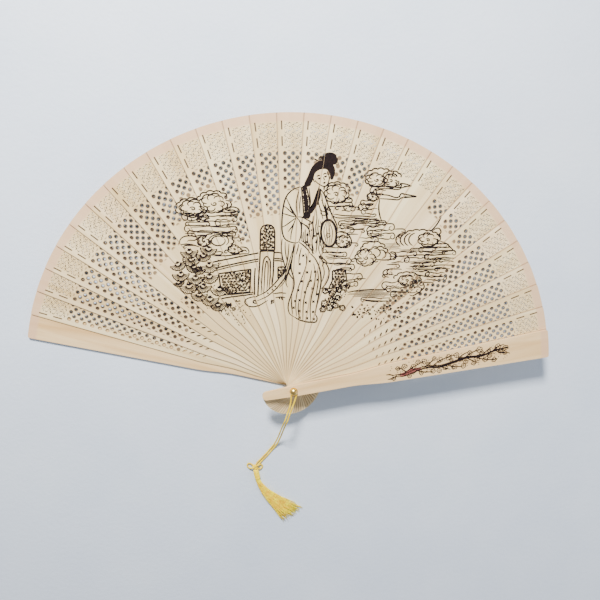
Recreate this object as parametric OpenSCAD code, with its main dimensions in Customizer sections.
// Folding fan made of pierced wooden sticks on one rivet, lying open and flat.
// The rivet's axis is Z, the back guard rests on z = 0, and the sticks climb
// one on another from the back guard (left) to the front guard (right).

/* [Fan] */
// Distance from the rivet's axis to the rim
tip_r = 205; // [190:1:220]
// Distance from the rivet's axis to the end of the tails
tail_r = 24.5; // [22:0.5:27]
// Angle between one stick and the next when the fan is open
pitch_a = 5.36; // [5:0.01:5.4]
// Direction of the back guard when the fan is open
back_guard_a = 164.7; // [160:0.1:168]

/* [Sticks] */
// Thickness of an inner stick
stick_t = 0.5; // [0.4:0.05:0.8]
// Air gap between two sticks of the stack
gap_t = 0.14; // [0.12:0.01:0.2]
// Thickness of a guard stick
guard_t = 2; // [1.6:0.1:2.6]
// Width of a stick at the rivet
head_w = 8.8; // [8:0.1:9.6]
// Width of a stick's shank where the blade begins to widen
shank_w = 9.6; // [9:0.1:11]
// Width of the blade where the flare ends
blade_w = 15.4; // [14:0.1:16]
// Width of the blade at the rim
rim_w = 23; // [22:0.1:24]
// Rounding of the blade's corners at the rim
corner_r = 1.4; // [0.8:0.1:2]

/* [Piercing] */
// Radius of the round holes of the lattice
hole_r = 1.22; // [0.9:0.02:1.3]
// Distance between two columns of the lattice
col_p = 2.92; // [2.8:0.02:3.1]
// Distance between two rows of the lattice
row_p = 2.9; // [2.8:0.02:3.1]
// Solid wood left along each edge of a blade
edge_m = 2.6; // [2.4:0.1:3.2]
// Cell size of the scroll band under the rim
scroll_p = 2.6; // [2.5:0.05:2.8]

/* [Rivet] */
// Radius of the rivet's shank
pin_r = 1.5; // [1.3:0.05:1.8]
// Radial clearance of each stick on the shank
pin_clear = 0.06; // [0.03:0.01:0.09]
// Radius of the washer on the front guard
washer_r = 3.1; // [2.8:0.1:3.4]
// Radius of the domed head
dome_r = 2.7; // [2.5:0.05:3]

/* [Tassel] */
// Diameter of the tassel cord
cord_d = 1.1; // [1:0.05:1.2]
// Length of the fringe
fringe_l = 52; // [44:1:56]

/* [Hidden] */

COUNT = 28;
wood = [0.89, 0.80, 0.68];
rim_wood = [0.87, 0.72, 0.60];
brass = [0.80, 0.62, 0.28];
silk = [0.93, 0.88, 0.78];
yellow = [0.93, 0.80, 0.20];

// Heights in the stack
layer = stick_t + gap_t;
function stick_z(k) = guard_t + gap_t + (k - 1) * layer;
front_z = stick_z(COUNT + 1);
top_z = front_z + guard_t;
function stick_a(k) = back_guard_a - k * pitch_a;

// Half of a stick's width at a distance x from the rivet: a slightly tapered
// shank, an S-shaped flare and a straight blade
flare_in = 44;
flare_out = 80;
function blade_half(x) = blade_w / 2 + (rim_w - blade_w) / 2 * (x - flare_out) / (tip_r - flare_out);
function smooth(t) = t * t * (3 - 2 * t);
function half_w(x) =
    x <= 0 ? head_w / 2 + x * 0.045 :
    x <= flare_in ? head_w / 2 + (shank_w - head_w) / 2 * x / flare_in :
    x <= flare_out ? shank_w / 2 + (blade_half(flare_out) - shank_w / 2) * smooth((x - flare_in) / (flare_out - flare_in)) :
    blade_half(x);

// Outline of a stick along +X, counter-clockwise. The end circle of the tail,
// the flare and the rounded corners are points on their curves.
tail_end = half_w(-tail_r + 3.3);
tail_x = -tail_r + tail_end;
blade_s = (rim_w - blade_w) / 2 / (tip_r - flare_out);
blade_a = blade_half(0);
corner_n = sqrt(1 + blade_s * blade_s);
corner_in = blade_a - corner_r * corner_n;
corner_x = (-corner_in * blade_s + sqrt(pow(tip_r - corner_r, 2) * (1 + blade_s * blade_s) - corner_in * corner_in)) / (1 + blade_s * blade_s);
corner_y = corner_in + blade_s * corner_x;
rim_half_a = atan2(corner_y, corner_x);
edge_normal_a = atan2(1, -blade_s);
upper_side = concat(
    [for (i = [0:8]) let (a = rim_half_a * i / 8) [tip_r * cos(a), tip_r * sin(a)]],
    [for (i = [1:4]) let (a = rim_half_a + (edge_normal_a - rim_half_a) * i / 4)
        [corner_x + corner_r * cos(a), corner_y + corner_r * sin(a)]],
    [for (i = [0:9]) let (x = flare_out - (flare_out - flare_in) * i / 9) [x, half_w(x)]],
    [[0, head_w / 2]],
    [for (i = [0:6]) let (a = 90 + 90 * i / 6) [tail_x + tail_end * cos(a), tail_end * sin(a)]]
);
side_n = len(upper_side);
outline = concat(upper_side, [for (i = [side_n - 2:-1:1]) [upper_side[i][0], -upper_side[i][1]]]);

// Radius at which each stick's lattice stops. The sticks that carry the
// printed scene stay solid below that radius.
lattice_top = 177.6;
lattice_in = [94, 94, 94, 94, 138, 140, 142, 154, 166, 166, 151, 137, 137, 154,
              173, 164, 156, 200, 200, 200, 171, 169, 167, 91, 91, 91, 91, 91];
// Sticks whose lattice ends in a spray of leaves
leafy = [1, 2, 3, 4, 24, 25, 26, 27, 28];
// The stick whose left half stays solid, for the top of the printed scene
half_solid = 16;
// Small lattice patches inside the scene: stick, outer and inner radius
patches = [[11, 142, 121], [5, 108, 92], [23, 128, 90]];

function room(x, y) = half_w(x) - edge_m - abs(y);
function hole_size(x, y) = room(x, y) >= hole_r ? hole_r : room(x, y) >= 0.55 ? 0.7 : 0;

module lattice(r_out, r_in, last = 2) {
    rows = floor((r_out - r_in) / row_p);
    for (i = [0:1:rows])
        for (j = [-2:last])
            if ((i + j + 20) % 2 == 0) {
                x = r_out - i * row_p;
                y = j * col_p;
                s = hole_size(x, y);
                if (s > 0) translate([x, y]) circle(r = i == rows && s == hole_r ? 0.85 : s, $fn = 32);
            }
}

// A leaf is the overlap of two discs
module leaf(long, wide) {
    big = (long * long / 4 + wide * wide / 4) / wide;
    intersection() {
        translate([0, big - wide / 2]) circle(r = big, $fn = 64);
        translate([0, -big + wide / 2]) circle(r = big, $fn = 64);
    }
}

module leaf_spray(r_out) {
    for (i = [0:3]) {
        x = r_out - 4 - i * 5.2;
        for (s = [-1, 1])
            translate([x, s * (half_w(x) - edge_m - 0.6) * 0.5]) rotate(s * 38) leaf(4.6 - i * 0.45, 1.5 - i * 0.12);
        if (i < 3) translate([x - 1.4, 0]) circle(r = 0.5, $fn = 24);
    }
    translate([r_out - 0.6, 0]) circle(r = 1.1, $fn = 32);
}

// A crescent is a disc less a smaller disc that stands off its centre
module crescent(r) {
    difference() {
        circle(r = r, $fn = 32);
        translate([r * 0.42, 0]) circle(r = r * 0.8, $fn = 32);
    }
}

// Scroll band: crescents that turn from cell to cell, with dots between them
scroll_top = 197.4;
module scrolls() {
    for (i = [0:6])
        for (j = [-2:2]) {
            x = scroll_top - i * scroll_p;
            y = j * scroll_p;
            translate([x, y]) rotate(((i + j + 20) % 2 == 0 ? 35 : 215) + (i % 2) * 70) crescent(0.98);
            if (i < 6 && j < 2) translate([x - scroll_p / 2, y + scroll_p / 2]) circle(r = 0.3, $fn = 16);
        }
}

// The two thin slots behind which the ribbons pass, along one edge
slot_w = 0.5;
outer_slot = [193.6, 199.2];
inner_slot = [182.6, 188.8];
module slots() {
    for (s = [outer_slot, inner_slot]) {
        y0 = half_w(s[0]) - 2.9;
        y1 = half_w(s[1]) - 2.9;
        polygon([[s[0], y0 - slot_w], [s[1], y1 - slot_w], [s[1], y1], [s[0], y0]]);
    }
}

module rivet_hole() circle(r = pin_r + pin_clear, $fn = 64);

module stick(k) {
    in = lattice_in[k - 1];
    color(wood)
    rotate([0, 0, stick_a(k)]) translate([0, 0, stick_z(k)]) linear_extrude(stick_t) difference() {
        polygon(outline);
        rivet_hole();
        scrolls();
        slots();
        if (in < lattice_top) lattice(lattice_top, in, k == half_solid ? -1 : 2);
        for (p = patches) if (p[0] == k) lattice(p[1], p[2]);
        if (len(search(k, leafy)) > 0) leaf_spray(in - 1.5);
    }
}

head_t = 0.6;
head_r = 3.2;
module guard_back() {
    color(rim_wood) rotate([0, 0, back_guard_a]) difference() {
        linear_extrude(guard_t) difference() {
            polygon(outline);
            rivet_hole();
        }
        translate([0, 0, -1]) cylinder(r = head_r + 0.06, h = 1 + head_t + 0.02, $fn = 64);
    }
}
module stick_01() stick(1);
module stick_02() stick(2);
module stick_03() stick(3);
module stick_04() stick(4);
module stick_05() stick(5);
module stick_06() stick(6);
module stick_07() stick(7);
module stick_08() stick(8);
module stick_09() stick(9);
module stick_10() stick(10);
module stick_11() stick(11);
module stick_12() stick(12);
module stick_13() stick(13);
module stick_14() stick(14);
module stick_15() stick(15);
module stick_16() stick(16);
module stick_17() stick(17);
module stick_18() stick(18);
module stick_19() stick(19);
module stick_20() stick(20);
module stick_21() stick(21);
module stick_22() stick(22);
module stick_23() stick(23);
module stick_24() stick(24);
module stick_25() stick(25);
module stick_26() stick(26);
module stick_27() stick(27);
module stick_28() stick(28);
module guard_front() {
    color(rim_wood) rotate([0, 0, stick_a(COUNT + 1)]) translate([0, 0, front_z])
        linear_extrude(guard_t) difference() {
            polygon(outline);
            rivet_hole();
        }
}

// Rivet: a flat head let into the back guard, the shank, a washer on the front
// guard, and a domed head on a short neck that the cord lies round
washer_t = 0.4;
neck_z = top_z + 0.02 + washer_t;
neck_h = 1.3;
module rivet_back_head() { color(brass) cylinder(r = head_r, h = head_t, $fn = 64); }
module rivet_pin() { color(brass) translate([0, 0, head_t]) cylinder(r = pin_r, h = neck_z - head_t, $fn = 64); }
module rivet_washer() {
    color(brass) translate([0, 0, top_z + 0.02]) difference() {
        cylinder(r = washer_r, h = washer_t, $fn = 64);
        translate([0, 0, -1]) cylinder(r = pin_r + 0.03, h = washer_t + 2, $fn = 64);
    }
}
dome_h = 1.5;
dome_ball = (dome_r * dome_r + dome_h * dome_h) / 2 / dome_h;
module rivet_front_head() {
    color(brass) translate([0, 0, neck_z]) union() {
        cylinder(r = pin_r, h = neck_h, $fn = 64);
        translate([0, 0, neck_h]) cylinder(r = dome_r, h = 0.35, $fn = 64);
        translate([0, 0, neck_h + 0.35]) intersection() {
            cylinder(r = dome_r, h = dome_h, $fn = 64);
            translate([0, 0, dome_h - dome_ball]) sphere(r = dome_ball, $fn = 64);
        }
    }
}

// Ribbons: one continuous band each, glued under every stick. It runs under
// one stick, climbs past the right edge of the stick below, and so on.
ribbon_t = 0.1;
ribbon_air = 0.03;
function step_a(k) = stick_a(k) - asin(half_w(outer_slot[0]) / outer_slot[0]) - 0.45;
module sector(r0, r1, a0, a1) {
    polygon(concat(
        [for (i = [0:4]) let (a = a0 + (a1 - a0) * i / 4) [r1 * cos(a), r1 * sin(a)]],
        [for (i = [4:-1:0]) let (a = a0 + (a1 - a0) * i / 4) [r0 * cos(a), r0 * sin(a)]]
    ));
}
module ribbon(r0, r1) {
    color(silk) union() {
        for (k = [1:COUNT]) {
            translate([0, 0, stick_z(k) - ribbon_air - ribbon_t])
                linear_extrude(ribbon_t) sector(r0, r1, step_a(k) - 0.1, step_a(k - 1));
            translate([0, 0, stick_z(k) - ribbon_air - ribbon_t])
                linear_extrude(layer + ribbon_t) sector(r0, r1, step_a(k) - 0.1, step_a(k));
        }
        translate([0, 0, front_z - ribbon_air - ribbon_t])
            linear_extrude(ribbon_t) sector(r0, r1, stick_a(COUNT + 1) - 1.5, step_a(COUNT));
    }
}
module ribbon_outer() ribbon(193.9, 198.9);
module ribbon_inner() ribbon(183, 188.4);

// Tassel cord: two strands that meet behind the rivet's neck, pass round its
// two sides, run side by side over the tails, drop to the surface and end in
// the knot. A smooth curve runs through the points of each route.
cord_r = cord_d / 2;
on_guard = neck_z + cord_r + 0.04;
on_floor = cord_r + 0.02;
round_neck = pin_r + cord_r + 0.05;
// The middle line between the strands, and half of their distance there
drape = [
    [0, -2, on_guard, 2.15], [-0.6, -6.9, on_guard, 1.5], [-2, -12.4, on_guard, 1.05],
    [-3.6, -17.1, on_guard, 0.95], [-5.1, -22, on_guard, 0.95], [-6.2, -25.4, 22.6, 0.95],
    [-7.2, -29, 20.2, 0.95], [-9.05, -38.5, 13, 0.95], [-11.05, -48, 6.5, 0.95],
    [-13.8, -56.2, 2.1, 0.95], [-17.9, -62.4, on_floor, 0.95], [-21.8, -67.1, on_floor, 0.95],
    [-26.6, -71.9, 0.9, 0.95], [-29, -74, 1.7, 0.95]
];
function beside(i, s) = let (
    a = drape[max(0, i - 1)], b = drape[min(len(drape) - 1, i + 1)],
    w = [b[0] - a[0], b[1] - a[1]] / norm([b[0] - a[0], b[1] - a[1]])
) [drape[i][0] + s * drape[i][3] * w[1], drape[i][1] - s * drape[i][3] * w[0], drape[i][2]];
left_route = concat(
    [for (a = [90:20:170]) [round_neck * cos(a), round_neck * sin(a), on_guard]],
    [for (i = [0:len(drape) - 1]) beside(i, 1)]
);
right_route = concat(
    [for (a = [90:-20:10]) [round_neck * cos(a), round_neck * sin(a), on_guard]],
    [for (i = [0:len(drape) - 1]) beside(i, -1)]
);
// A point of the curve through four points, between the second and the third
function curve(p0, p1, p2, p3, t) = 0.5 * (2 * p1 + (p2 - p0) * t + (2 * p0 - 5 * p1 + 4 * p2 - p3) * t * t + (3 * p1 - p0 - 3 * p2 + p3) * t * t * t);
function at(route, i) = route[max(0, min(len(route) - 1, i))];
function smooth_route(route, n) = concat(
    [for (i = [0:len(route) - 2]) for (j = [0:n - 1])
        curve(at(route, i - 1), at(route, i), at(route, i + 1), at(route, i + 2), j / n)],
    [route[len(route) - 1]]
);
function unit(v) = v / norm(v);
function way(path, i) = unit(at(path, i + 1) - at(path, i - 1));
// The first ring's side direction points up, and each next ring carries it on
function carry(path, i, side) = unit(side - (side * way(path, i)) * way(path, i));
function sides(path, i = 0, side = [0, 0, 1], out = []) =
    i == len(path) ? out : let (s = carry(path, i, side)) sides(path, i + 1, s, concat(out, [s]));
module tube(path, r) {
    up = sides(path);
    n = len(path);
    polyhedron(
        points = [for (i = [0:n - 1]) let (w = way(path, i), s = up[i], c = cross(w, s))
            for (j = [0:7]) path[i] + r * (cos(45 * j) * s + sin(45 * j) * c)],
        faces = concat(
            [[7, 6, 5, 4, 3, 2, 1, 0]],
            [for (i = [0:n - 2]) for (j = [0:7])
                [8 * i + j, 8 * i + (j + 1) % 8, 8 * i + 8 + (j + 1) % 8, 8 * i + 8 + j]],
            [[for (j = [0:7]) 8 * (n - 1) + j]]
        ),
        convexity = 6
    );
}
module cord_left() { color(yellow) tube(smooth_route([for (p = left_route) p + [-0.02, 0, 0]], 2), cord_r); }
module cord_right() { color(yellow) tube(smooth_route([for (p = right_route) p + [0.02, 0, 0]], 2), cord_r); }

// Knot with two ear loops, the collar under it and the fringe. All lie on the
// surface, in the order in which they hang.
knot_at = [-31.4, -77, 2.3];
collar_a = -80;
fringe_a = -52;
collar_l = 9;
collar_r = 2.3;
collar_at = knot_at + 2.5 * [cos(collar_a), sin(collar_a), 0];
fringe_at = collar_at + (collar_l + 0.05) * [cos(collar_a), sin(collar_a), 0] + [0, 0, collar_r - knot_at[2] + 0.05];
ear_d = 4.5;
module ear(a) {
    translate([knot_at[0] + ear_d * cos(a), knot_at[1] + ear_d * sin(a), cord_r + 0.1])
        rotate_extrude($fn = 48) translate([2.2, 0]) circle(r = cord_r, $fn = 24);
}
module tassel_knot() {
    color(yellow) {
        translate(knot_at) sphere(r = 2.2, $fn = 32);
        ear(170);
        ear(0);
    }
}
module tassel_collar() {
    color(yellow) translate([collar_at[0], collar_at[1], collar_r + 0.05]) rotate([0, 90, collar_a])
        cylinder(r = collar_r, h = collar_l, $fn = 48);
}
module tassel_fringe() {
    color(yellow) translate([fringe_at[0], fringe_at[1], 0]) hull() {
        translate([0, 0, collar_r + 0.05]) rotate([0, 90, collar_a]) cylinder(r = collar_r, h = 0.5, $fn = 24);
        for (a = [-12, 0, 12])
            translate([fringe_l * 0.97 * cos(fringe_a + a), fringe_l * 0.97 * sin(fringe_a + a), 1.25])
                sphere(r = 1.2, $fn = 16);
        for (a = [-14, 14])
            translate([fringe_l * 0.45 * cos(fringe_a + a), fringe_l * 0.45 * sin(fringe_a + a), 2.1])
                sphere(r = 2, $fn = 16);
    }
}

guard_back();
stick_01();
stick_02();
stick_03();
stick_04();
stick_05();
stick_06();
stick_07();
stick_08();
stick_09();
stick_10();
stick_11();
stick_12();
stick_13();
stick_14();
stick_15();
stick_16();
stick_17();
stick_18();
stick_19();
stick_20();
stick_21();
stick_22();
stick_23();
stick_24();
stick_25();
stick_26();
stick_27();
stick_28();
guard_front();
rivet_pin();
rivet_back_head();
rivet_washer();
rivet_front_head();
ribbon_outer();
ribbon_inner();
cord_left();
cord_right();
tassel_knot();
tassel_collar();
tassel_fringe();
